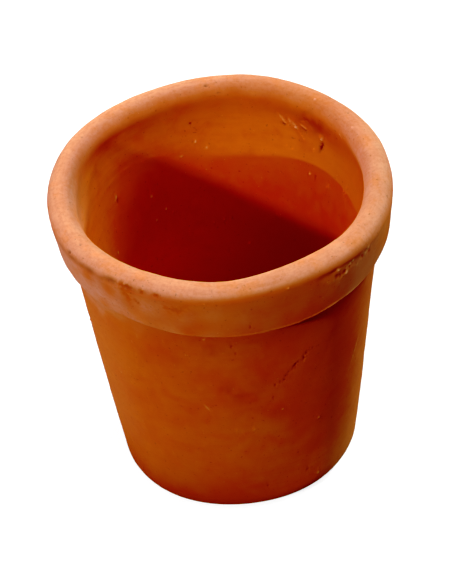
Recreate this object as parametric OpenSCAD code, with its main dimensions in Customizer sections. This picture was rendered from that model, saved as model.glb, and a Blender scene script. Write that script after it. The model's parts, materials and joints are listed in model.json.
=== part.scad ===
// Small terracotta plant pot: one piece of fired clay, turned about +Z.
// The origin is the centre of the resting face, and sizes are in millimetres.

/* [Overall] */
// Outside diameter across the lip
rim_d = 80; // [78:1:88]
// Height from the resting face to the top of the lip
height = 83; // [72:1:96]
// Outside diameter of the foot, where the wall line meets the ground
foot_d = 55.6; // [52:0.2:60]

/* [Collar] */
// Thickness of the rounded lip
lip_t = 6.5; // [5.5:0.1:7]
// Height of the collar, lip included
collar_h = 14; // [12:0.5:17]
// Outside diameter at the collar's lower edge
collar_low_d = 77; // [75:0.5:78]
// Outside diameter of the body just under the collar
neck_d = 71.6; // [70.4:0.2:74]
// Radius that softens the collar's lower edge
collar_edge_r = 0.7; // [0.3:0.1:1]

/* [Cavity] */
// Depth of the inner shoulder below the top of the lip
shoulder_depth = 17; // [15:0.5:19]
// Inside diameter at the shoulder's edge
shoulder_d = 63.6; // [62:0.2:65]
// Radius of the cove that runs from the lip down to the shoulder's edge
cove_r = 22; // [18:1:28]
// Inside diameter where the wall line meets the floor
floor_d = 49; // [44:0.5:50]
// Thickness of the floor
floor_t = 6.5; // [5:0.5:8]
// Radius between the inside wall and the floor
floor_r = 5; // [2:0.5:7]

/* [Foot and drain] */
// Radius round the outside of the foot
foot_r = 6.5; // [3:0.5:8]
// Diameter of the drain hole through the floor
drain_d = 12; // [8:0.5:14]
// Width of the bevel at each end of the drain hole
drain_bevel = 0.8; // [0.4:0.1:1.2]

/* [Hidden] */
$fn = 96;

rim_r = rim_d / 2;
lip_r = lip_t / 2;
foot_wall_r = foot_d / 2;
neck_r = neck_d / 2;
collar_low_r = collar_low_d / 2;
floor_wall_r = floor_d / 2;
drain_r = drain_d / 2;
collar_z = height - collar_h;     // underside of the collar

overlap = 1;      // how far one outline runs into the next, or past the clay
merge = 0.002;    // how far a round stands into the outline that it joins

// Section points as [radius, height].
lip_centre = [rim_r - lip_r, height - lip_r];
shoulder = [shoulder_d / 2, height - shoulder_depth];

// Unit vector from a to b.
function along(a, b) = (b - a) / norm(b - a);

// Half the angle at corner b between the sides to a and c.
function half_angle(a, b, c) = acos(along(b, a) * along(b, c)) / 2;

// Where a round of radius r in corner b, between the sides to end and other, touches the side to end.
function touch(end, b, other, r) =
    b + along(b, end) * r / tan(half_angle(end, b, other));

// Centre of the round of radius r that touches both sides of corner b.
function round_centre(a, b, c, r) =
    b + along([0, 0], along(b, a) + along(b, c)) * r / sin(half_angle(a, b, c));

// Point on the axis side of p and q that lies to_p from p and to_q from q, with p above q.
function between(p, to_p, q, to_q) =
    let (
        gap = norm(q - p),
        down = along(p, q),
        reach = (to_p * to_p - to_q * to_q + gap * gap) / (2 * gap)
    )
    p + down * reach + [down[1], -down[0]] * sqrt(to_p * to_p - reach * reach);

// The cove meets the lip's round without a corner and ends at the shoulder's edge.
cove_centre = between(lip_centre, cove_r + lip_r - merge, shoulder, cove_r);
cove_top = lip_centre + along(lip_centre, cove_centre) * lip_r;

// Closed outline a, b, c, d over a level side a to b, with corner b rounded to radius r.
module rounded_quad(a, b, c, d, r) {
    polygon([a, touch(a, b, c, r), touch(c, b, a, r), c, d]);
    translate(round_centre(a, b, c, r) + [0, merge]) circle(r = r + merge);
}

// Solid outline of the body, from its rounded foot to inside the collar.
module body_outline() {
    rounded_quad([0, 0], [foot_wall_r, 0], [neck_r, collar_z], [0, collar_z], foot_r);
    translate([0, collar_z - overlap]) square([neck_r - overlap, 2 * overlap]);
}

// Solid outline of the collar up to the middle of the lip, with a softened lower edge.
module collar_outline() {
    rounded_quad([0, collar_z], [collar_low_r, collar_z], [rim_r, lip_centre[1]],
                 [0, lip_centre[1]], collar_edge_r);
}

// Round section of the lip.
module lip_outline() {
    translate(lip_centre) circle(r = lip_r);
}

// Upper room: the cove, from the shoulder's edge out through the mouth.
module cove_outline() {
    low = shoulder[1] - overlap;
    band_h = cove_top[1] + overlap - low;
    intersection() {
        translate(cove_centre) circle(r = cove_r);
        translate([0, low]) square([rim_r, band_h]);
    }
    translate([0, low]) square([cove_centre[0], band_h]);
    translate([0, cove_top[1]]) square([lip_centre[0], lip_t]);
}

// Lower room: the sloping wall, rounded into the floor and run up into the cove.
module well_outline() {
    corner = [floor_wall_r, floor_t];
    top = shoulder + along(corner, shoulder) * overlap;
    rounded_quad([0, floor_t], corner, top, [0, top[1]], floor_r);
}

// Drain hole, bevelled where it opens in the floor and in the resting face.
module drain_outline() {
    flare = drain_bevel + overlap;
    translate([0, -overlap]) square([drain_r, floor_t + 2 * overlap]);
    polygon([[0, -overlap], [drain_r + flare, -overlap], [drain_r, drain_bevel],
             [0, drain_bevel]]);
    polygon([[0, floor_t + overlap], [drain_r + flare, floor_t + overlap],
             [drain_r, floor_t - drain_bevel], [0, floor_t - drain_bevel]]);
}

module pot() {
    color([0.72, 0.36, 0.18])
    rotate_extrude()
    union() {
        difference() {
            union() {
                body_outline();
                collar_outline();
            }
            cove_outline();
            well_outline();
            drain_outline();
        }
        lip_outline();
    }
}

pot();
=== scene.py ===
"""Terracotta plant pot: the looks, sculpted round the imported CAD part.

The clay is one closed mesh. It starts as a fine turned form on the CAD's outline, gets a denser grid where
there is fine detail, and is then pushed about: a slight lean, an out-of-round lip, tool rings, a crease
under the lip, chips, crumbs and pits.

Sculpting is in millimetres and the finished mesh is in metres. A spot on the clay is given by its azimuth
(0 along +X, 90 along +Y; in degrees, or in radians where it is called theta) and by s, its distance along
the outline. The outline starts in the drain hole and runs out under the foot, up the outside, over the lip
and down the inside, back to the hole.
"""

from collections import namedtuple
import json
import math

import bmesh
import bpy
import numpy as np
from mathutils import Matrix, Vector


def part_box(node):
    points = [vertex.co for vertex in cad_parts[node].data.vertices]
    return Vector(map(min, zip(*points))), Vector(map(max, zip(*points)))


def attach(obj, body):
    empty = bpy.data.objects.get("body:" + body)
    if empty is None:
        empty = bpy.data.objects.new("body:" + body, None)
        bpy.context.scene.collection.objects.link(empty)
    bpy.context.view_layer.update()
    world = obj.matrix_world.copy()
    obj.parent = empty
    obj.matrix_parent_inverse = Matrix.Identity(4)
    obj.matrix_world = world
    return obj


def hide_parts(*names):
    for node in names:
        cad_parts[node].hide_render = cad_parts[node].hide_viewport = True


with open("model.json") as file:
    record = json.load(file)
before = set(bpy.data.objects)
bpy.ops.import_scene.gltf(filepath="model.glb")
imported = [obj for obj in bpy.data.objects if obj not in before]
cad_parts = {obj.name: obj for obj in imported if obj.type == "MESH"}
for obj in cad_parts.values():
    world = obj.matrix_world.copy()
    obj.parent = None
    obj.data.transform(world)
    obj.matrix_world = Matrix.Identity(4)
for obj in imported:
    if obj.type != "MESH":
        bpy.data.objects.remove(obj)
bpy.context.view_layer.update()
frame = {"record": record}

MM = 0.001
SEED = 11            # each random field adds its own number to this

# ---------------------------------------------------------------- sizes, in mm

LOW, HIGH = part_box("pot")
MOUNTS = {m["name"]: m for m in frame["record"]["mounts"]}
RIM_R = (HIGH.x - LOW.x) / 2 / MM
HEIGHT = HIGH.z / MM
COLLAR_Z = MOUNTS["collar_rest"]["pos_m"][2] / MM
DRAIN_R = MOUNTS["drain_hole"]["dims"]["r_mm"]

LIP_T = 6.5
LIP_R = LIP_T / 2
LIP_Z = HEIGHT - LIP_R
LIP_ROUND = LIP_R - 0.05   # leaves a hair of flat between the two rounds of the lip
MOUTH_R = RIM_R - LIP_T
COLLAR_TAPER = 1.5   # how far the collar narrows towards its lower edge
COLLAR_STEP = 2.7    # how far the collar's lower edge stands out over the body
COLLAR_LOW_R = RIM_R - COLLAR_TAPER
NECK_R = COLLAR_LOW_R - COLLAR_STEP
BODY_TAPER = 8.0     # how far the body narrows towards the foot
FOOT_WALL_R = NECK_R - BODY_TAPER
FOOT_ROUND = 6.5

HOLLOW = 1.0         # how far the wall is hollowed between the lip and the shoulder
HOLLOW_Z = HEIGHT - 10.8
HOLLOW_ROUND = 13.0
SHOULDER_R = MOUTH_R - 1.7
SHOULDER_Z = HEIGHT - 17.0
WELL_TAPER = 7.3     # how far the inside narrows below the shoulder
FLOOR_WALL_R = SHOULDER_R - WELL_TAPER
FLOOR_T = 6.5
FLOOR_ROUND = 5.0
DRAIN_BEVEL = 0.8
EDGE_ROUND = 0.5     # radius that softens an edge
CRISP_ROUND = 0.4    # the same for the shoulder's edge and inside the drain hole

COLUMNS = 368        # grid columns round the pot
ROW_STEP = 1.4       # usual distance between grid rows
FINE_STEP = 0.45     # distance between rows where the outline turns sharply
EDGE_STEP = 0.22     # distance between rows at the collar's lower edge and the shoulder's edge
EDGE_REACH = 1.0     # how far to each side of those edges the rows stay that close
BEND_REACH = 0.8     # how far a turn in the outline draws its rows together
BEND_PULL = 6        # and how strongly it does so
FINE_MARK = 0.9      # marks with a half width up to this get a denser grid
FINE_CUTS = 2        # cuts across each edge of the denser grid
FINE_SPREAD = 2.2    # the denser grid reaches this many half widths from a mark,
FINE_MARGIN = 0.35   # and this much further in mm

# ------------------------------------------------------------- turned outline


def rounded(corners, step):
    """Points along an outline whose corners (r, z, radius) are replaced by arcs."""
    points = []
    count = len(corners)
    for i, (r, z, radius) in enumerate(corners):
        corner = np.array((r, z))
        before = np.array(corners[i - 1][:2]) - corner
        after = np.array(corners[(i + 1) % count][:2]) - corner
        u = before / np.linalg.norm(before)
        v = after / np.linalg.norm(after)
        half = math.acos(np.clip(u @ v, -1, 1)) / 2
        reach = radius / math.tan(half)
        centre = corner + (u + v) / np.linalg.norm(u + v) * radius / math.sin(half)
        start = corner + u * reach - centre
        end = corner + v * reach - centre
        a = math.atan2(start[1], start[0])
        turn = (math.atan2(end[1], end[0]) - a + math.pi) % (2 * math.pi) - math.pi
        for t in np.linspace(0, 1, max(2, math.ceil(abs(turn) * radius / step))):
            points.append(centre + radius * np.array((math.cos(a + turn * t), math.sin(a + turn * t))))
    return np.array(points)


# Corners of the section: radius, height, and the radius of the round in the corner.
OUTLINE = [
    (DRAIN_R, DRAIN_BEVEL, CRISP_ROUND),
    (DRAIN_R + DRAIN_BEVEL, 0.0, EDGE_ROUND),
    (FOOT_WALL_R, 0.0, FOOT_ROUND),
    (NECK_R, COLLAR_Z, EDGE_ROUND),
    (COLLAR_LOW_R, COLLAR_Z, EDGE_ROUND),
    (RIM_R, LIP_Z, 1.5),
    (RIM_R, HEIGHT, LIP_ROUND),
    (MOUTH_R, HEIGHT, LIP_ROUND),
    (MOUTH_R, LIP_Z - 0.5, 2.0),
    (MOUTH_R + HOLLOW, HOLLOW_Z, HOLLOW_ROUND),
    (SHOULDER_R, SHOULDER_Z, CRISP_ROUND),
    (FLOOR_WALL_R, FLOOR_T, FLOOR_ROUND),
    (DRAIN_R + DRAIN_BEVEL, FLOOR_T, EDGE_ROUND),
    (DRAIN_R, FLOOR_T - DRAIN_BEVEL, CRISP_ROUND),
]

TABLE_STEP = 0.05
NORMAL_SPREAD = 6    # table steps to each side over which the normal is averaged


def outline_table():
    """The outline as evenly spaced distances along it, with r, z and the outward normal at each."""
    points = rounded(OUTLINE, TABLE_STEP)
    points = np.vstack([points, points[:1]])
    gaps = np.linalg.norm(np.diff(points, axis=0), axis=1)
    along = np.r_[0, np.cumsum(gaps)]
    s = np.arange(0, along[-1], TABLE_STEP)
    r = np.interp(s, along, points[:, 0])
    z = np.interp(s, along, points[:, 1])
    tangent = np.stack([np.gradient(r), np.gradient(z)], 1)
    kernel = np.ones(2 * NORMAL_SPREAD + 1) / (2 * NORMAL_SPREAD + 1)
    closed = [np.r_[t[-NORMAL_SPREAD:], t, t[:NORMAL_SPREAD]] for t in tangent.T]
    smooth = [np.convolve(t, kernel, "valid") for t in closed]
    tr, tz = np.array(smooth) / np.linalg.norm(smooth, axis=0)
    return s, r, z, tz, -tr


S, R, Z, NORMAL_R, NORMAL_Z = outline_table()
LENGTH = S[-1] + TABLE_STEP

# The same outline with its radius averaged over a stretch, as if a finger had wiped its edges away.
WIPE_REACH = 9.0
WIPE_KERNEL = np.ones(int(2 * WIPE_REACH / TABLE_STEP) + 1)
R_WIPED = np.convolve(R, WIPE_KERNEL / len(WIPE_KERNEL), "same")


def station(r, z):
    """Distance along the outline of its spot nearest to (r, z)."""
    return S[np.argmin(np.hypot(R - r, Z - z))]


S_BASE = station(FOOT_WALL_R - FOOT_ROUND, 0)
S_FOOT = station(FOOT_WALL_R, FOOT_ROUND)
S_NECK = station(NECK_R, COLLAR_Z)
S_EDGE = station(COLLAR_LOW_R, COLLAR_Z)
S_LIP = station(RIM_R, LIP_Z)
S_TOP = station(RIM_R - LIP_R, HEIGHT)
S_MOUTH = station(MOUTH_R, LIP_Z)
S_HOLLOW = station(MOUTH_R + HOLLOW, HOLLOW_Z)
S_SHOULDER = station(SHOULDER_R, SHOULDER_Z)
S_WELL = station(FLOOR_WALL_R, FLOOR_T + FLOOR_ROUND)
S_FLOOR = station(FLOOR_WALL_R - FLOOR_ROUND, FLOOR_T)


def row_places():
    """Distances along the outline at which the grid has rows, closer where the outline turns."""
    angle = np.unwrap(np.arctan2(NORMAL_Z, NORMAL_R))
    bend = np.abs(np.gradient(angle, S))
    reach = int(BEND_REACH / TABLE_STEP)
    near = np.array([bend[max(0, i - reach):i + reach + 1].max() for i in range(len(bend))])
    step = np.clip(ROW_STEP / (1 + near * BEND_PULL), FINE_STEP, ROW_STEP)
    for edge in (S_EDGE, S_SHOULDER):
        step = np.where(np.abs(S - edge) < EDGE_REACH, EDGE_STEP, step)
    count = np.cumsum(TABLE_STEP / step)
    return np.interp(np.arange(0, int(count[-1])) + 0.5, count, S)


def outline_at(s):
    """Radius, height and outward normal of the turned form at a distance along the outline."""
    s = np.mod(s, LENGTH)
    return [np.interp(s, S, column) for column in (R, Z, NORMAL_R, NORMAL_Z)]


def spot(azimuth, s):
    """Point on the turned form at an azimuth in degrees and a distance along the outline."""
    r, z, _, _ = outline_at(s)
    a = math.radians(azimuth)
    return np.array((r * math.cos(a), r * math.sin(a), z))


def outside(azimuth, height):
    """Point on the outer face at an azimuth in degrees and a height in mm."""
    part = (S >= S_BASE) & (S <= S_TOP)
    return spot(azimuth, np.interp(height, Z[part], S[part]))


def inside(azimuth, height):
    """Point on the inner face at an azimuth in degrees and a height in mm."""
    part = (S >= S_TOP) & (S <= S_FLOOR)
    return spot(azimuth, np.interp(-height, -Z[part], S[part]))


def on_lip(azimuth, angle):
    """Point on the lip's round section; angle 0 faces outwards, 90 up and 180 into the mouth."""
    r = RIM_R - LIP_R + LIP_R * math.cos(math.radians(angle))
    z = LIP_Z + LIP_R * math.sin(math.radians(angle))
    return spot(azimuth, station(r, z))


# ------------------------------------------------------------ shape functions


def ramp(x, low, high):
    """0 below low, 1 above high, and a smooth step between."""
    t = np.clip((x - low) / (high - low), 0, 1)
    return t * t * (3 - 2 * t)


def plateau(x, start, full, fade, end):
    """0 outside start..end, 1 between full and fade, and smooth steps between."""
    return ramp(x, start, full) * (1 - ramp(x, fade, end))


def bump(x, middle, half_width):
    """A smooth hump of height 1 round middle."""
    return np.exp(-((x - middle) / half_width) ** 2)


def beside(theta, azimuth, half_width):
    """A smooth hump of height 1 round an azimuth; azimuth and half width in degrees, theta in radians."""
    away = (np.degrees(theta) - azimuth + 180) % 360 - 180
    return bump(away, 0, half_width)


def wave(theta, terms):
    """Sum of waves round the pot: (waves per turn, size, azimuth of a crest in degrees)."""
    return sum(size * np.cos(n * (theta - math.radians(crest))) for n, size, crest in terms)


def soft_noise(points, size, seed, waves=28):
    """A smooth random field of unit spread, with features about size mm across."""
    rng = np.random.default_rng(seed)
    direction = rng.normal(size=(waves, 3))
    direction /= np.linalg.norm(direction, axis=1)[:, None]
    rate = 2 * math.pi / size * rng.uniform(0.6, 1.4, waves)
    phase = rng.uniform(0, 2 * math.pi, waves)
    total = np.zeros(len(points))
    for d, k, p in zip(direction, rate, phase):
        total += np.cos(points @ d * k + p)
    return total * math.sqrt(2 / waves)


def distance_to_path(points, path):
    """Distance from each point to a path of straight pieces, and where along it (0 to 1) it is nearest."""
    best = np.full(len(points), np.inf)
    where = np.zeros(len(points))
    pieces = len(path) - 1
    for i in range(pieces):
        a, b = path[i], path[i + 1]
        ab = b - a
        t = np.clip((points - a) @ ab / (ab @ ab), 0, 1)
        d = np.linalg.norm(points - a - t[:, None] * ab, axis=1)
        closer = d < best
        best[closer] = d[closer]
        where[closer] = ((i + t) / pieces)[closer]
    return best, where


# ---------------------------------------------------------------- fine details

# A mark is a ridge or a cut along a path, or a lump or a pit at one point. Rise is along the normal, in mm:
# below 0 is a cut. Tone makes the clay paler or, below 0, darker. Film adds chalky film or, below 0, bares
# the clay. Ragged is how uneven the mark's width is.
Mark = namedtuple("Mark", "path half_width rise tone film ragged")
MARKS = []

CRUMB_RISE = 0.8     # height of a crumb, in half widths
PIT_DEPTH = 0.9      # depth of a pit, in half widths
MARK_SPREAD = 4      # a mark is felt up to this many half widths away
TAPER_PART = 0.25    # part of a path over which each of its ends tapers
TAPER_SIZE = 0.35    # size of a mark at the ends of its path, as a share of its full size


def mark(path, half_width, rise, tone=0.0, film=0.0, ragged=0.3):
    """Notes a mark for the sculpting."""
    MARKS.append(Mark(np.array(path, float).reshape(-1, 3), half_width, rise, tone, film, ragged))


def crumb(place, half_width, tone=0.5):
    """Notes a small lump."""
    mark([place], half_width, CRUMB_RISE * half_width, tone)


def pit(place, half_width, tone=-0.6):
    """Notes a small pit, painted darker as the shade in it."""
    mark([place], half_width, -PIT_DEPTH * half_width, tone)


def strands():
    """Strands of smeared clay under the lip at the back right, with cuts between them painted darker as
    shade.
    """
    mark([inside(59.5, 74.5), inside(57, 74), inside(54.5, 73.5)], 1.1, 0.06, 0.16, ragged=0.8)
    mark([inside(63, 76.5), inside(61.5, 75.5), inside(60.5, 74.5), inside(59, 73.5)], 0.32, 0.26, 0.45)
    mark([inside(58.5, 76), inside(58, 75), inside(57.5, 74.5)], 0.26, 0.24, 0.4)
    mark([inside(57, 75), inside(55.5, 74), inside(54.5, 73)], 0.36, 0.25, 0.35, ragged=0.6)
    mark([inside(55, 73.5)], 0.40, 0.35, 0.7)
    mark([inside(54.5, 73), inside(52, 71.5), inside(50.5, 70.5)], 0.22, 0.16, 0.28, ragged=0.6)
    mark([inside(54, 75), inside(52, 74.5), inside(50, 74), inside(49, 74)], 0.28, 0.28, 0.5)
    mark([inside(53.5, 75.5), inside(51.5, 76), inside(49.5, 76.5), inside(48, 75.5)], 0.20, 0.15, 0.3)
    mark([inside(62, 74), inside(60.5, 73.5), inside(59.5, 73.5)], 0.28, -0.26, -0.6)
    mark([inside(53, 74), inside(51, 73.5), inside(50, 73)], 0.35, -0.2, -0.35)
    # A slightly hollow patch between the strands and the lip, painted darker as the shade under the lip.
    hollow = [inside(55, 77.5), inside(50, 77), inside(44, 76.5), inside(39, 75.5)]
    mark(hollow, 2.4, -0.12, -0.32, ragged=0.6)
    # A crumb, and below it a groove painted dark as the crumb's shadow.
    mark([inside(42.5, 73.5), inside(41, 73)], 0.5, 0.7, 0.75)
    mark([inside(41.5, 72), inside(42, 71), inside(42.5, 69.5)], 0.5, -0.40, -0.8)
    mark([inside(46, 69.5), inside(45, 69.5)], 0.22, 0.2, 0.4)
    mark([inside(45.5, 69), inside(45, 69)], 0.18, 0.15, 0.3)


# Loose crumbs and pits inside, the pits painted darker as shade: azimuth, height, half width, rise, tone.
LOOSE = [
    (98.5, 69, 0.27, 0.25, 0.8), (99.5, 69, 0.225, -0.2, -0.4), (94, 67.5, 0.27, 0.25, 0.8),
    (99.5, 73.5, 0.315, -0.35, -0.8), (70, 67, 0.18, 0.2, 0.4), (59, 68.5, 0.27, 0.1, 0.2),
    (56, 68, 0.315, 0.1, 0.2), (105.5, 65.5, 0.27, 0.2, 0.3), (143, 62, 0.36, 0.4, 0.7),
    (142.5, 61, 0.36, -0.3, -0.7), (123, 56.5, 0.27, 0.3, 0.5), (122.5, 56, 0.18, -0.2, -0.5),
    (116.5, 52, 0.225, 0.25, 0.5), (118, 43.5, 0.225, 0.25, 0.4), (150.5, 50, 0.225, 0.25, 0.7),
    (94, 44.5, 0.225, 0.2, 0.3), (89, 45, 0.225, 0.2, 0.3), (86.5, 45, 0.225, 0.2, 0.3),
    (77.5, 38, 0.27, 0.3, 0.5), (98, 35.5, 0.225, 0.2, 0.2),
]


def inner_marks():
    """Strands, crumbs, pits and a smear inside the mouth."""
    strands()
    # Crumbs caught on the shoulder.
    crumb(inside(45.5, 63), 0.36, 0.7)
    pit(inside(46.5, 63), 0.25)
    pit(inside(42.5, 63), 0.3)
    for azimuth, height in ((22.5, 65.5), (20.5, 65.5), (21.5, 64.5), (21, 67), (35, 62), (33.5, 62.5)):
        mark([inside(azimuth, height)], 0.3, 0.22, 0.25)
    # A smear low on the shaded wall.
    mark([inside(64, 49), inside(62, 47.5), inside(60, 48)], 0.6, 0.25, 0.1)
    for azimuth, height, half_width, rise, tone in LOOSE:
        mark([inside(azimuth, height)], half_width, rise, tone)


def lip_marks():
    """A few crumbs and pits on the lip, and a short ridge just under it."""
    # Two pits, painted darker as the shade in them.
    mark([on_lip(92, 122)], 0.40, -0.35, -0.5)
    mark([on_lip(87, 160)], 0.30, -0.25, -0.4)
    crumb(on_lip(47, 113), 0.3, 0.7)
    pit(on_lip(32, 83), 0.22)
    crumb(on_lip(24, 121), 0.35, 0.4)
    mark([inside(30, 79.5), inside(29, 79), inside(28, 78)], 0.22, 0.15, 0.35)


# The burr along the collar's lower edge, with a painted highlight along it: first azimuth, last azimuth,
# rise.
BURR = [
    (246, 266, 0.05), (264, 286, 0.08), (284, 296, 0.10),
    (295, 311, 0.13), (310, 322, 0.12), (321, 333, 0.06),
]


def collar_marks():
    """Bare patches, chips, crumbs and a burr on the collar."""
    # Bare patches and pits in the smeared clay under the lip, front left.
    mark([outside(231, 81), outside(234, 81), outside(236.5, 81)], 0.6, -0.2, -0.2, film=-1.0, ragged=0.6)
    mark([outside(233.5, 79.5), outside(235, 78.5), outside(235.5, 77)],
         0.9, -0.15, -0.1, film=-0.9, ragged=0.5)
    mark([outside(237.5, 77.5), outside(239, 76.5)], 0.5, -0.22, -0.22, film=-0.6, ragged=0.5)
    mark([outside(248.5, 78), outside(251, 77.5), outside(253.5, 77.5), outside(255.5, 79)],
         0.7, -0.14, -0.15, film=-0.9, ragged=0.5)
    mark([outside(240.5, 81)], 0.55, -0.25, -0.12, film=-0.6)
    crumb(outside(241, 81.5), 0.28, 0.3)
    mark([outside(244.5, 81), outside(247, 81)], 0.5, -0.15, -0.08, film=-0.8)
    pit(outside(208, 81), 0.45, -0.4)
    # Chips and crumbs on the right of the collar; the chips are painted darker as the shade in them.
    for azimuth, height in ((310.5, 77.5), (309, 77), (307.5, 77.5), (313, 78), (323, 78), (319, 78)):
        mark([outside(azimuth, height)], 0.40, -0.28, -0.35, ragged=0.7)
    for azimuth, height in ((311.5, 77), (312.5, 78), (313.5, 78.5), (314.5, 79), (321, 78.5),
                            (322, 79.5), (308, 79), (317, 76.5)):
        mark([outside(azimuth, height)], 0.32, 0.28, 0.75, ragged=0.6)
    mark([outside(303, 77), outside(305, 76.5), outside(307, 76.5)], 0.35, 0.1, 0.15)
    for first, last, rise in BURR:
        edge = [outside(a, COLLAR_Z + 0.35) for a in range(first, last + 1, 2)]
        # The burr's paler tone is a painted highlight along the edge.
        mark(edge, 0.3, rise, tone=1.3 * rise, film=0.6 * rise, ragged=0.2)


# A rough scratch on the body: two rows of small pits, each from one end to the other, and their number.
SCRATCH = [((301.7, 55.0), (286.6, 46.0), 26), ((300.0, 52.6), (294.0, 49.8), 9)]

# Soft stains on the body: azimuth, height, half width, tone.
STAINS = [
    (266.0, 46.0, 2.2, -0.14), (272.0, 43.5, 2.6, -0.12), (280.0, 48.0, 2.0, -0.10),
    (262.0, 61.0, 2.4, -0.10), (285.0, 36.0, 3.0, -0.08), (246.0, 56.0, 2.6, -0.06),
]

# Specks on the body: azimuth, height, rise.
SPECKS = [
    (259, 65, 0.2), (269, 62, -0.2), (270.5, 59.5, -0.15), (308, 7, 0.2), (281, 9, -0.2),
    (301.5, 10.5, -0.2), (276, 31.5, 0.12), (284.5, 41.5, -0.15), (330, 5, 0.15), (288.5, 36.5, 0.15),
]


def body_marks():
    """A rough scratch, a few nicks, soft stains and specks on the body."""
    # A faint groove runs along the longer row of the scratch.
    mark([outside(301, 54.5), outside(294, 50.5), outside(287.5, 46.5)], 0.25, -0.05, -0.08, ragged=0.9)
    rng = np.random.default_rng(SEED + 1)
    for first, last, count in SCRATCH:
        for t in np.linspace(0, 1, count):
            azimuth = first[0] + (last[0] - first[0]) * t + rng.normal(0, 0.45)
            height = first[1] + (last[1] - first[1]) * t + rng.normal(0, 0.35)
            pit(outside(azimuth, height), rng.uniform(0.12, 0.26), -rng.uniform(0.15, 0.7))
    mark([outside(330.5, 44.5), outside(329.5, 43), outside(327.5, 40.5), outside(326, 38.5)],
         0.28, 0.08, 0.18, ragged=0.7)
    mark([outside(255.5, 41.5), outside(258, 39)], 0.25, 0.06, 0.25)
    mark([outside(268.5, 32.5), outside(268, 30)], 0.2, 0.04, 0.10)
    mark([outside(270.5, 31), outside(272.5, 29)], 0.2, 0.04, 0.08)
    for azimuth, height, half_width, tone in STAINS:
        mark([outside(azimuth, height)], half_width, -0.03, tone, ragged=0.9)
    for azimuth, height, rise in SPECKS:
        mark([outside(azimuth, height)], 0.3, rise, 0.4 * np.sign(rise))


SCATTERED = 60       # number of small pits and crumbs all over


def scattered_marks(count):
    """Small pits and crumbs all over, as in any fired clay."""
    rng = np.random.default_rng(SEED)
    for _ in range(count):
        azimuth = rng.uniform(0, 360)
        place = spot(azimuth, rng.uniform(S_FOOT, S_WELL))
        half_width = rng.uniform(0.16, 0.32)
        if rng.uniform() < 0.5:
            crumb(place, half_width, rng.uniform(0.1, 0.4))
        else:
            pit(place, half_width, -rng.uniform(0.1, 0.5))


# ------------------------------------------------------------------ sculpting

# Waves round the pot: (waves per turn, size in mm, azimuth of a crest). The pot was made by hand on a
# wheel, so its lip, collar edge, body and inner shoulder are a little out of round and out of level.
RIM_OUT = [(2, 0.05, 107), (3, 0.17, 65), (4, 0.10, 62), (5, 0.03, 36), (6, 0.16, 26)]
RIM_UP = [(2, 0.15, 131), (3, 0.12, 55), (4, 0.04, 73), (5, 0.14, 10), (6, 0.12, 2)]
EDGE_OUT = [(2, 0.24, 139), (3, 0.29, 40)]
EDGE_UP = [(1, 0.14, 178), (2, 0.33, 17), (3, 0.15, 95), (5, 0.07, 60)]
BODY_OUT = [(2, 0.15, 13), (3, 0.37, 91)]
FOOT_OUT = [(4, 0.2, 45)]
SHOULDER_UP = [(1, 0.6, 215), (2, 0.7, 151), (3, 0.7, 4), (4, 1.7, 44)]
LEAN = (0.36, -0.20)     # how far the collar stands off the foot's centre

# Unevenness of the surface, coarse to fine: height of the swells and their width, in mm.
SWELLS = [(0.030, 16.0), (0.016, 5.0), (0.008, 1.8)]
RING_HEIGHT = 0.012      # half the height of the tool rings
RING_PITCH = 3.4

CREASE_SIDE = 222        # azimuth where the crease under the lip is deepest
CHIP_SIDE = 312          # azimuth of the chipped stretch
SMEAR_SIDE = 213         # azimuth where the collar's lower edge is smeared into the body


def slow_waves(theta, s):
    """How far the slow waves round the pot push its form outwards and upwards."""
    foot, neck, edge, lip = S_FOOT, S_NECK, S_EDGE, S_LIP
    mouth, shoulder, well = S_MOUTH, S_SHOULDER, S_WELL
    body = np.interp(s, [S_BASE, foot, neck, edge, mouth, shoulder, well, S_FLOOR], [0, 1, 1, 0, 0, 1, 1, 0])
    low_body = np.interp(s, [S_BASE - 3, S_BASE, foot, foot + 10], [0, 1, 1, 0])
    low_collar = np.interp(s, [neck, edge, lip], [0, 1, 0])
    rim = np.interp(s, [edge, lip, mouth, shoulder], [0, 1, 1, 0])
    ledge = np.interp(s, [neck - 12, neck, edge, lip], [0, 1, 1, 0])
    cove_end = np.interp(s, [mouth, shoulder, shoulder + 20], [0, 1, 0])
    out = body * wave(theta, BODY_OUT) + low_body * wave(theta, FOOT_OUT)
    out += low_collar * wave(theta, EDGE_OUT) + rim * wave(theta, RIM_OUT)
    up = ledge * wave(theta, EDGE_UP) + rim * wave(theta, RIM_UP) + cove_end * wave(theta, SHOULDER_UP)
    return out, up


def form(theta, s):
    """How far the hand-made pot stands outwards and upwards of the turned outline."""
    foot, neck, edge, lip = S_FOOT, S_NECK, S_EDGE, S_LIP
    out, up = slow_waves(theta, s)
    # The right side bulges a little, most of all at the collar.
    right = np.interp(s, [S_BASE, foot, neck - 6, neck, edge, lip, S_MOUTH],
                      [0, 0.22, 0.25, 0.6, 0.5, 0.25, 0])
    out += beside(theta, 348, 22) * right
    # At the front right the body swells under the collar, so the step there is shallower.
    out += beside(theta, 308, 26) * np.interp(s, [neck - 5, neck, edge], [0, 0.7, 0])
    out += beside(theta, 322, 15) * np.interp(s, [neck - 9, neck, edge], [0, 1.3, 0])
    # Where the collar was smeared, clay fills the step.
    out += beside(theta, SMEAR_SIDE, 17) * np.interp(s, [neck - 5, neck, edge, edge + 4], [0, 1.3, 0.1, 0])
    # On the left the shoulder inside is wiped away.
    wiped = np.interp(s, S, R_WIPED - R)
    wiped *= plateau(s, S_HOLLOW - 1, S_HOLLOW + 5, S_SHOULDER + 8, S_SHOULDER + 16)
    out += np.clip(1.15 * beside(theta, 160, 62), 0, 1) * (wiped - 0.7 * bump(s, S_HOLLOW - 1, 4.5))
    return out, up


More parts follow.
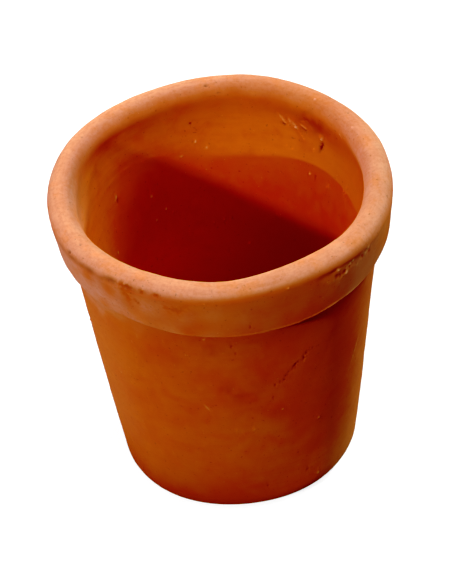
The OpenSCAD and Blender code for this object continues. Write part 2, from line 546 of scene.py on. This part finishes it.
def texture_push(base, theta, s, z):
    """Unevenness of the surface, along the normal, and how strongly the crease under the lip shows."""
    push = np.zeros(len(base))
    for i, (height, width) in enumerate(SWELLS):
        push += height * soft_noise(base, width, SEED + 2 + i)
    wall = plateau(s, S_FOOT, S_FOOT + 6, S_NECK - 4, S_NECK)
    wall += plateau(s, S_MOUTH + 4, S_MOUTH + 8, S_WELL - 6, S_WELL)
    rings = np.sin(z * 2 * math.pi / RING_PITCH + 0.8 * soft_noise(base, 30.0, SEED + 5))
    push += RING_HEIGHT * rings * wall
    # At the front the lip's roll is a little squarer on its outer side.
    push += 0.22 * bump(s, S_LIP + 2.6, 1.5) * beside(theta, 270, 55)

    # Crease between the lip's roll and the collar's face.
    crease_z = LIP_Z - 0.9 + 1.8 * beside(theta, 235, 45) + 0.2 * soft_noise(base, 9.0, SEED + 6)
    deep = 0.05 + 0.28 * beside(theta, CREASE_SIDE, 22) + 0.16 * beside(theta, CHIP_SIDE, 14)
    outer = (s > S_EDGE) & (s < S_TOP)
    crease = outer * bump(z, crease_z, 0.85) * (1 + 0.35 * soft_noise(base, 4.0, SEED + 7))
    push -= crease * deep
    # Finger marks and lumps in the collar's face below the crease, on the left.
    dabbed = outer * beside(theta, 228, 24) * bump(z, COLLAR_Z + 5, 4.5)
    push += 0.13 * dabbed * soft_noise(base, 6.0, SEED + 9)
    off_ground = ramp(z, 0.5, 6)
    return push * off_ground, crease * beside(theta, CREASE_SIDE, 26)


def film_on(base, theta, s):
    """How much chalky film lies on the clay, 0 to 1: thick on the lip, patchy on the collar, thin below."""
    patchy = soft_noise(base, 7.0, SEED + 10)
    left = beside(theta, 165, 45)
    right = beside(theta, 5, 30)
    front = beside(theta, 278, 34)
    # On the inner side the film ends below the lip's top, and a thin smear runs on down at the left.
    end = S_TOP + 3.0 + 0.2 * left + 3.6 * right + 3.0 * beside(theta, 270, 60)
    inward = ramp(s + 0.35 * patchy, end - 3.0, end + 3.0)
    # On the outer side it thins out over the crease, and at the front it stops short.
    start = S_LIP - 0.5 + 1.6 * front
    lip = ramp(s, start, start + 3.0 - 1.4 * front) * (1 - inward) * (0.97 + 0.05 * patchy)
    lip *= 1 - 0.38 * beside(theta, 50, 30) - 0.1 * beside(theta, 325, 25)
    smear = 0.9 * beside(theta, 181, 17) * ramp(s, S_LIP, S_LIP + 3)
    smear *= 1 - ramp(s + 0.8 * patchy, S_TOP + 12, S_TOP + 21)
    # On the collar's face it lies mostly at the left and a little at the right.
    round_face = 0.11 + 0.9 * beside(theta, 203, 24) + 0.2 * beside(theta, 238, 26)
    round_face += 0.36 * beside(theta, 327, 17)
    face = plateau(s, S_EDGE - 0.6, S_EDGE, S_LIP - 1, S_LIP + 2)
    collar = face * np.clip(round_face * (1 + 0.3 * patchy), 0, 1)
    # Below the collar there is a trace of it at the left and at the right, partly film and partly a painted
    # sheen near the pot's edges.
    below_collar = s < S_EDGE
    body = 0.5 * beside(theta, 215, 18) * ramp(s + 2 * patchy, S_NECK - 7, S_NECK - 1)
    body += 0.30 * beside(theta, 200, 22) * ramp(s, S_FOOT, S_FOOT + 20)
    body += 0.26 * beside(theta, 345, 18) * ramp(s, S_BASE, S_FOOT)
    return np.clip(np.maximum(lip, smear) + collar + body * below_collar, 0, 1)


def dust_and_shade_on(theta, s):
    """How dull the film is, 0 to 1, partly from dust and partly as painted shade: clean on the lip's top,
    duller on the collar's face and in the mouth.
    """
    below = 1 - ramp(s, S_LIP + 0.5, S_LIP + 3.5 - 0.8 * beside(theta, 278, 34))
    start = S_TOP + 0.5 - 1.3 * beside(theta, 170, 50)
    sides = 0.25 + 0.75 * beside(theta, 155, 50) + 0.85 * beside(theta, 5, 32)
    inner = ramp(s, start, start + 3.5) * sides * (1 - beside(theta, 275, 50))
    return np.clip(below + inner, 0, 1)


def tone_on(theta, s, z, crease):
    """How much paler or, below 0, darker the clay is, before the marks; all of it is painted light and
    painted shade.
    """
    body = s < S_NECK
    # Painted shade in the crease under the lip, and a little all down the front right.
    tone = -0.30 * crease - 0.09 * beside(theta, 284, 22)
    # Painted shade towards the ground, except at the right, where painted light makes it paler.
    tone -= 0.95 * np.exp(-z / 8.5) * body * (1 - beside(theta, 325, 50))
    tone += 0.24 * np.exp(-z / 16.0) * body * beside(theta, 326, 24)
    # Painted light on the collar's face at the front right, and painted shade a little further left.
    face = plateau(s, S_EDGE - 0.5, S_EDGE, S_LIP - 2, S_LIP + 1)
    tone += face * (0.2 * beside(theta, 316, 13) - 0.14 * beside(theta, 293, 20))
    # Painted shade over the lip at the right, and round its inner side at the left.
    tone -= 0.13 * beside(theta, 347, 26) * plateau(s, S_LIP - 1, S_LIP + 2, S_TOP + 1, S_TOP + 4)
    tone -= 0.25 * beside(theta, 174, 22) * plateau(s, S_TOP + 0.5, S_TOP + 3.5, S_MOUTH + 4, S_MOUTH + 12)
    # Painted shade on the inner wall at the right, and deep down at the back right.
    tone -= 0.25 * beside(theta, 24, 38) * ramp(s, S_MOUTH, S_MOUTH + 3)
    tone -= 0.25 * beside(theta, 58, 32) * ramp(s, S_SHOULDER + 16, S_SHOULDER + 24)
    return tone


def points_around(points, m, margin):
    """A quick pick of the points that may be near a mark."""
    extent = np.ptp(m.path, axis=0).max()
    return np.flatnonzero(np.linalg.norm(points - m.path.mean(0), axis=1) < extent + margin)


def near_mark(points, m):
    """Distance from points to a mark, and how much of its size it has there; paths taper at both ends."""
    if len(m.path) == 1:
        return np.linalg.norm(points - m.path[0], axis=1), np.ones(len(points))
    d, t = distance_to_path(points, m.path)
    ends = [np.clip(part / TAPER_PART, TAPER_SIZE, 1) for part in (t, 1 - t)]
    return d, ends[0] * ends[1]


def add_marks(base, push, tone, film):
    """Adds the marks to the push along the normal, the tone and the film."""
    for m in MARKS:
        near = points_around(base, m, MARK_SPREAD * m.half_width)
        if not len(near):
            continue
        points = base[near]
        d, taper = near_mark(points, m)
        uneven = np.clip(1 + m.ragged * soft_noise(points, 1.2 * m.half_width + 0.4, SEED + 8), 0.4, 1.6)
        shape = bump(d / uneven, 0, 0.9 * m.half_width) * taper
        push[near] += m.rise * shape
        tone[near] += m.tone * shape
        film[near] = np.clip(film[near] + m.film * shape, 0, 1)


def sculpt(theta, s):
    """Finished positions in mm, tone and film, for grid points at azimuth theta and distance s."""
    r, z, nr, nz = outline_at(s)
    base = np.stack([r * np.cos(theta), r * np.sin(theta), z], 1)
    out, up = form(theta, s)
    push, crease = texture_push(base, theta, s, z)
    film = film_on(base, theta, s) * (1 - 0.3 * np.clip(crease, 0, 1))
    tone = tone_on(theta, s, z, crease)
    add_marks(base, push, tone, film)

    lean = np.clip(z / COLLAR_Z, 0, 1)
    r = r + out + push * nr
    z = np.maximum(z + up + push * nz, 0)
    x = r * np.cos(theta) + LEAN[0] * lean
    y = r * np.sin(theta) + LEAN[1] * lean
    return np.stack([x, y, z], 1), tone, film


# -------------------------------------------------------------- the pot's mesh


def near_fine_mark(points, limit):
    """Which points lie near a mark whose half width is at most limit."""
    hit = np.zeros(len(points), bool)
    for m in MARKS:
        if m.half_width > limit:
            continue
        around = points_around(points, m, FINE_SPREAD * FINE_MARK + FINE_MARGIN)
        if len(around):
            d, _ = near_mark(points[around], m)
            hit[around[d < FINE_SPREAD * m.half_width + FINE_MARGIN]] = True
    return hit


def refine(bm, limit, cuts):
    """Splits the faces near fine marks into a denser grid."""
    centres = np.array([f.calc_center_median()[:] for f in bm.faces])
    picked = near_fine_mark(centres, limit)
    edges = list({e for f, hit in zip(bm.faces, picked) if hit for e in f.edges})
    bmesh.ops.subdivide_edges(bm, edges=edges, cuts=cuts, use_grid_fill=True)
    ngons = [f for f in bm.faces if len(f.verts) > 4]
    bmesh.ops.triangulate(bm, faces=ngons)


def turned_grid(bm, place):
    """Fills a bmesh with the turned form; the layer place keeps each vertex's distance along the outline."""
    theta = np.arange(COLUMNS) * 2 * math.pi / COLUMNS
    grid = []
    for s in row_places():
        r, z, _, _ = outline_at(s)
        line = [bm.verts.new((r * math.cos(a), r * math.sin(a), z)) for a in theta]
        for v in line:
            v[place] = s
        grid.append(line)
    for line, after in zip(grid, grid[1:] + grid[:1]):
        for j in range(COLUMNS):
            k = (j + 1) % COLUMNS
            bm.faces.new((line[j], line[k], after[k], after[j]))


def cavity_looks(theta, s):
    """Where painted light and painted shade lie inside the pot, each 0 to 1."""
    # Painted shade: deeper, redder clay below the shoulder; its upper edge is soft at the left, and the far
    # left stays out of it.
    soft = 0.35 + 12 * beside(theta, 170, 58)
    deeper = 0.75 + 0.25 * ramp(s, S_SHOULDER, S_SHOULDER + 14)
    within = ramp(s, S_SHOULDER - soft, S_SHOULDER + soft) * deeper * (1 - 0.9 * beside(theta, 168, 28))
    # Painted light: brighter clay on the lit wall at the back right and on the left wall.
    under_lip = S_MOUTH + 1 + 4 * beside(theta, 32, 25)
    back_wall = ramp(s, under_lip, under_lip + 5) * beside(theta, 68, 42)
    left_wall = 0.9 * beside(theta, 157, 30) * plateau(s, S_MOUTH, S_MOUTH + 5, S_WELL - 30, S_WELL)
    # Painted light: a redder glow low at the back left, where light thrown about the deep inside falls.
    ember = ramp(s, S_SHOULDER + 16, S_SHOULDER + 28) * beside(theta, 125, 42)
    return {"within": within, "cove": np.maximum(back_wall, left_wall), "ember": ember}


def build_pot():
    """The sculpted pot, with the values that its material reads stored as attributes."""
    bm = bmesh.new()
    place = bm.verts.layers.float.new("place")
    turned_grid(bm, place)
    refine(bm, FINE_MARK, FINE_CUTS)
    rough = np.array([v.co[:] for v in bm.verts])
    s = np.array([v[place] for v in bm.verts])
    theta = np.arctan2(rough[:, 1], rough[:, 0])
    positions, tone, film = sculpt(theta, s)
    bm.verts.layers.float.remove(place)
    mesh = bpy.data.meshes.new("clay_pot")
    bm.to_mesh(mesh)
    bm.free()
    mesh.vertices.foreach_set("co", (positions * MM).astype(np.float32).ravel())
    looks = {"tone": tone, "film": film, "along": s * MM, "dusty": dust_and_shade_on(theta, s)}
    looks.update(cavity_looks(theta, s))
    for name, values in looks.items():
        attribute = mesh.attributes.new(name, "FLOAT", "POINT")
        attribute.data.foreach_set("value", values.astype(np.float32))
    mesh.shade_smooth()
    mesh.update()
    pot = bpy.data.objects.new("clay_pot", mesh)
    bpy.context.scene.collection.objects.link(pot)
    return pot


# ------------------------------------------------------------------- material


class Nodes:
    """Short calls for building a node tree."""

    def __init__(self, tree):
        self.tree = tree
        tree.nodes.clear()

    def add(self, kind, inputs=None, **settings):
        """A node of a kind; an input is a value or another node's output."""
        node = self.tree.nodes.new(kind)
        for name, value in settings.items():
            setattr(node, name, value)
        for key, value in (inputs or {}).items():
            if isinstance(value, bpy.types.NodeSocket):
                self.tree.links.new(value, node.inputs[key])
            else:
                node.inputs[key].default_value = value
        return node

    def attribute(self, name):
        """A value that the mesh holds at its points."""
        return self.add("ShaderNodeAttribute", attribute_name=name).outputs["Fac"]

    def math(self, operation, a, b=0.0):
        """The result of a sum, product or the like."""
        return self.add("ShaderNodeMath", {0: a, 1: b}, operation=operation).outputs[0]

    def span(self, value, low, high, to_low=0.0, to_high=1.0):
        """Maps value from low..high to to_low..to_high, smoothly and clamped."""
        node = self.add("ShaderNodeMapRange", {"Value": value, "From Min": low, "From Max": high,
                                               "To Min": to_low, "To Max": to_high},
                        interpolation_type="SMOOTHSTEP")
        return node.outputs["Result"]

    def noise(self, where, size_mm, detail=3.0, roughness=0.55, distortion=0.0):
        """Noise from 0 to 1 with features about size_mm across."""
        node = self.add("ShaderNodeTexNoise", {"Vector": where, "Scale": 1 / (size_mm * MM),
                                               "Detail": detail, "Roughness": roughness,
                                               "Distortion": distortion})
        return node.outputs["Fac"]

    def mix(self, amount, a, b):
        """Colour a, or b where amount is 1, or a blend of the two."""
        node = self.add("ShaderNodeMix", {0: amount, 6: a, 7: b}, data_type="RGBA", blend_type="MIX")
        return node.outputs[2]


CLAY_RED = (0.52, 0.075, 0.008, 1)
CLAY_WARM = (0.58, 0.136, 0.010, 1)
# Painted shade of the deep inside.
CLAY_IN_SHADE = (0.52, 0.060, 0.006, 1)
# A painted glow of light thrown about the deep inside.
CLAY_GLOW_PAINT = (0.66, 0.062, 0.006, 1)
# Painted light on the lit inner walls.
CLAY_LIT_PAINT = (0.68, 0.165, 0.012, 1)
CHALK = (0.78, 0.37, 0.20, 1)
CHALK_WARM = (0.81, 0.32, 0.125, 1)
# Film dulled partly by dust and partly as painted shade.
DUST_AND_SHADE = (0.61, 0.243, 0.155, 1)
PALE = (0.90, 0.50, 0.30, 1)
DARK = (0.16, 0.012, 0.002, 1)

DRAW_OUT = 0.16      # noise changes this much slower round the pot, so that it comes out as streaks


def add_streak_space(n, where):
    """A vector in which noise comes out as streaks that run round the pot."""
    split = n.add("ShaderNodeSeparateXYZ", {"Vector": where})
    drawn = n.add("ShaderNodeCombineXYZ", {"X": n.math("MULTIPLY", split.outputs["X"], DRAW_OUT),
                                           "Y": n.math("MULTIPLY", split.outputs["Y"], DRAW_OUT),
                                           "Z": n.attribute("along")})
    return drawn.outputs["Vector"]


def bare_clay(n, where, drawn, mottle):
    """Clay that drifts between redder and warmer, with painted light and painted shade inside the pot."""
    cloud = n.span(n.noise(where, 18, 3), 0.1, 0.9)
    colour = n.mix(cloud, CLAY_RED, CLAY_WARM)
    # Painted light on the lit inner walls, painted shade deep inside, and a painted glow low at the back
    # left.
    colour = n.mix(n.attribute("cove"), colour, CLAY_LIT_PAINT)
    colour = n.mix(n.attribute("within"), colour, CLAY_IN_SHADE)
    colour = n.mix(n.attribute("ember"), colour, CLAY_GLOW_PAINT)
    colour = n.mix(n.math("MULTIPLY", mottle, 0.25), colour, CLAY_WARM)
    colour = n.mix(n.span(n.noise(where, 8.0, 4, 0.6, 0.4), 0.48, 0.70, 0.0, 0.45), colour, CLAY_RED)
    streak = n.span(n.noise(drawn, 1.1, 3, 0.6), 0.35, 0.75)
    return n.mix(n.math("MULTIPLY", streak, 0.22), colour, CLAY_RED)


def chalky_film(n, where, drawn, colour):
    """Lays the film over the clay, thinner where the fine noise is low."""
    patch = n.span(n.noise(where, 0.9, 5, 0.65), 0.34, 0.60, 0.74, 1.0)
    rubbed = n.span(n.noise(drawn, 0.7, 3, 0.6), 0.36, 0.58, 0.86, 1.0)
    film = n.math("MULTIPLY", n.attribute("film"), n.math("MULTIPLY", patch, rubbed))
    blotch = n.span(n.noise(where, 5.0, 4, 0.6), 0.48, 0.66, 0.0, 0.7)
    chalk = n.mix(blotch, CHALK, CHALK_WARM)
    # Where the film is dulled it is partly dust and partly painted shade.
    return n.mix(film, colour, n.mix(n.attribute("dusty"), chalk, DUST_AND_SHADE))


def grains_and_tone(n, where, colour):
    """Pale quartz and dark iron specks, then the paler and darker places of the mesh, much of them painted
    light and painted shade.
    """
    grain = n.noise(where, 0.55, 2, 0.5)
    colour = n.mix(n.span(grain, 0.70, 0.80, 0.0, 0.22), colour, PALE)
    speck = n.noise(where, 0.8, 2, 0.5, 0.3)
    colour = n.mix(n.span(speck, 0.26, 0.33, 0.35, 0.0), colour, DARK)
    tone = n.attribute("tone")
    colour = n.mix(n.math("MAXIMUM", tone, 0.0), colour, PALE)
    return n.mix(n.math("MAXIMUM", n.math("MULTIPLY", tone, -1.0), 0.0), colour, DARK)


def clay_material():
    """Fired clay with a chalky film, grains, painted light and painted shade, and a fine bump."""
    material = bpy.data.materials.new("fired_clay")
    material.use_nodes = True
    n = Nodes(material.node_tree)
    where = n.add("ShaderNodeTexCoord").outputs["Object"]
    drawn = add_streak_space(n, where)
    mottle = n.span(n.noise(where, 3.0, 5, 0.6), 0.35, 0.7)
    colour = bare_clay(n, where, drawn, mottle)
    colour = chalky_film(n, where, drawn, colour)
    colour = grains_and_tone(n, where, colour)

    fine = n.noise(where, 0.35, 4, 0.65)
    medium = n.noise(where, 1.6, 3, 0.5)
    relief = n.math("ADD", n.math("MULTIPLY", fine, 0.5), medium)
    grainy = n.add("ShaderNodeBump", {"Strength": 0.3, "Distance": 0.10 * MM, "Height": relief})
    shader = n.add("ShaderNodeBsdfPrincipled", {"Base Color": colour,
                                                "Roughness": n.span(mottle, 0, 1, 0.70, 0.85),
                                                "Normal": grainy.outputs["Normal"],
                                                "Specular IOR Level": 0.25,
                                                "Diffuse Roughness": 0.9})
    n.add("ShaderNodeOutputMaterial", {"Surface": shader.outputs[0]})
    return material


# ---------------------------------------------------------------------- stage

FLOOR_HALF = 3.0                         # half the floor's side, in metres
FLOOR_SEEN = (0.35, 0.35, 0.35, 1)       # the floor's colour to the camera
FLOOR_UNSEEN = (0.08, 0.075, 0.07, 1)    # its colour to light that doesn't go to the camera
FLOOR_GLOW = 0.85                        # strength of its own glow, for the camera only
LIGHT_DISTANCE = 1.4                     # in metres

CAMERA_PLACE = (0.36, -530.15, 523.63)   # in mm
CAMERA_AIM = (-0.44, 0, 47.44)           # in mm
CAMERA_ROLL = -5.27                      # in degrees
CAMERA_LENS = 184.9                      # focal length in mm
CAMERA_SENSOR = 36.0                     # width in mm
CAMERA_NEAR = 0.05                       # nearest distance that is drawn, in metres

# Tone curves as points (value in, value out).
GREEN_CURVE = [(0.025, 0.001), (0.045, 0.010), (0.065, 0.040), (0.10, 0.082), (0.30, 0.29)]
BLUE_CURVE = [(0.02, 0.0015), (0.05, 0.010), (0.10, 0.06), (0.16, 0.15)]


def on_sphere(azimuth, elevation, distance):
    """Place at a distance from the origin, in a direction given in degrees."""
    a, e = math.radians(azimuth), math.radians(elevation)
    return Vector((math.cos(a) * math.cos(e), math.sin(a) * math.cos(e), math.sin(e))) * distance


def add_floor():
    """A pale floor that the camera sees almost evenly lit, and that throws little light back up."""
    mesh = bpy.data.meshes.new("floor")
    corners = [(x * FLOOR_HALF, y * FLOOR_HALF, 0) for x, y in ((-1, -1), (1, -1), (1, 1), (-1, 1))]
    mesh.from_pydata(corners, [], [(0, 1, 2, 3)])
    floor = bpy.data.objects.new("floor", mesh)
    bpy.context.scene.collection.objects.link(floor)
    material = bpy.data.materials.new("pale_floor")
    material.use_nodes = True
    n = Nodes(material.node_tree)
    seen = n.add("ShaderNodeLightPath").outputs["Is Camera Ray"]
    shader = n.add("ShaderNodeBsdfPrincipled", {"Base Color": n.mix(seen, FLOOR_UNSEEN, FLOOR_SEEN),
                                                "Roughness": 1.0,
                                                "Specular IOR Level": 0.0,
                                                "Emission Color": (1, 1, 1, 1),
                                                "Emission Strength": n.math("MULTIPLY", seen, FLOOR_GLOW)})
    n.add("ShaderNodeOutputMaterial", {"Surface": shader.outputs[0]})
    mesh.materials.append(material)


def add_light(name, azimuth, elevation, size, power, colour=(1, 1, 1)):
    """A round lamp that faces the pot's middle; angles in degrees, size in metres and power in watts."""
    data = bpy.data.lights.new(name, "AREA")
    data.shape = "DISK"
    data.size = size
    data.energy = power
    data.color = colour
    light = bpy.data.objects.new(name, data)
    aim = Vector((0, 0, HEIGHT * MM / 2))
    light.location = aim + on_sphere(azimuth, elevation, LIGHT_DISTANCE)
    light.rotation_euler = (aim - light.location).to_track_quat("-Z", "Y").to_euler()
    bpy.context.scene.collection.objects.link(light)


def add_lights():
    """A hard key light from the front left, a small light on the right edge, and soft ones all round."""
    add_light("key", 227, 28.7, 0.10, 10.2)
    add_light("right", 27, 40, 0.45, 8.4)
    add_light("edge", 51, 22, 0.10, 19.0, colour=(0.9, 1.12, 0.7))
    add_light("top", 300, 68, 0.8, 3.2)
    add_light("down", 250, 88, 0.3, 3.0)
    add_light("front", 340, 50, 0.6, 2.3)
    add_light("low_right", 338, 4, 0.5, 1.9)
    add_light("left", 185, 15, 0.9, 4.6)
    add_light("high_left", 225, 55, 0.8, 2.1)


def add_background():
    """White to the camera, and no light from it on the pot."""
    world = bpy.data.worlds.new("studio")
    world.use_nodes = True
    n = Nodes(world.node_tree)
    seen = n.add("ShaderNodeLightPath").outputs["Is Camera Ray"]
    back = n.add("ShaderNodeBackground", {"Color": (1, 1, 1, 1), "Strength": seen})
    n.add("ShaderNodeOutputWorld", {"Surface": back.outputs[0]})
    bpy.context.scene.world = world


def bend_curve(curve, points):
    """Makes a colour curve run straight between points."""
    for place, value in points:
        curve.points.new(place, value)
    for point in curve.points:
        point.handle_type = "VECTOR"


def set_tone():
    """Colours as a camera gives them: in deep shade the green and the blue fall away before the red."""
    view = bpy.context.scene.view_settings
    view.view_transform = "Standard"
    view.use_curve_mapping = True
    _, green, blue, _ = view.curve_mapping.curves
    bend_curve(green, GREEN_CURVE)
    bend_curve(blue, BLUE_CURVE)
    view.curve_mapping.update()


def add_camera():
    """Above the front of the pot, slightly rolled, with a long lens."""
    data = bpy.data.cameras.new("camera")
    data.lens = CAMERA_LENS
    data.sensor_width = CAMERA_SENSOR
    data.clip_start = CAMERA_NEAR
    camera = bpy.data.objects.new("camera", data)
    place = Vector(CAMERA_PLACE) * MM
    aim = Vector(CAMERA_AIM) * MM
    facing = (aim - place).to_track_quat("-Z", "Y").to_matrix().to_4x4()
    roll = Matrix.Rotation(math.radians(CAMERA_ROLL), 4, "Z")
    camera.matrix_world = Matrix.Translation(place) @ facing @ roll
    bpy.context.scene.collection.objects.link(camera)
    bpy.context.scene.camera = camera


inner_marks()
lip_marks()
collar_marks()
body_marks()
scattered_marks(SCATTERED)
pot = build_pot()
pot.data.materials.append(clay_material())
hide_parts("pot")
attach(pot, "root")
add_floor()
add_lights()
add_background()
add_camera()
set_tone()
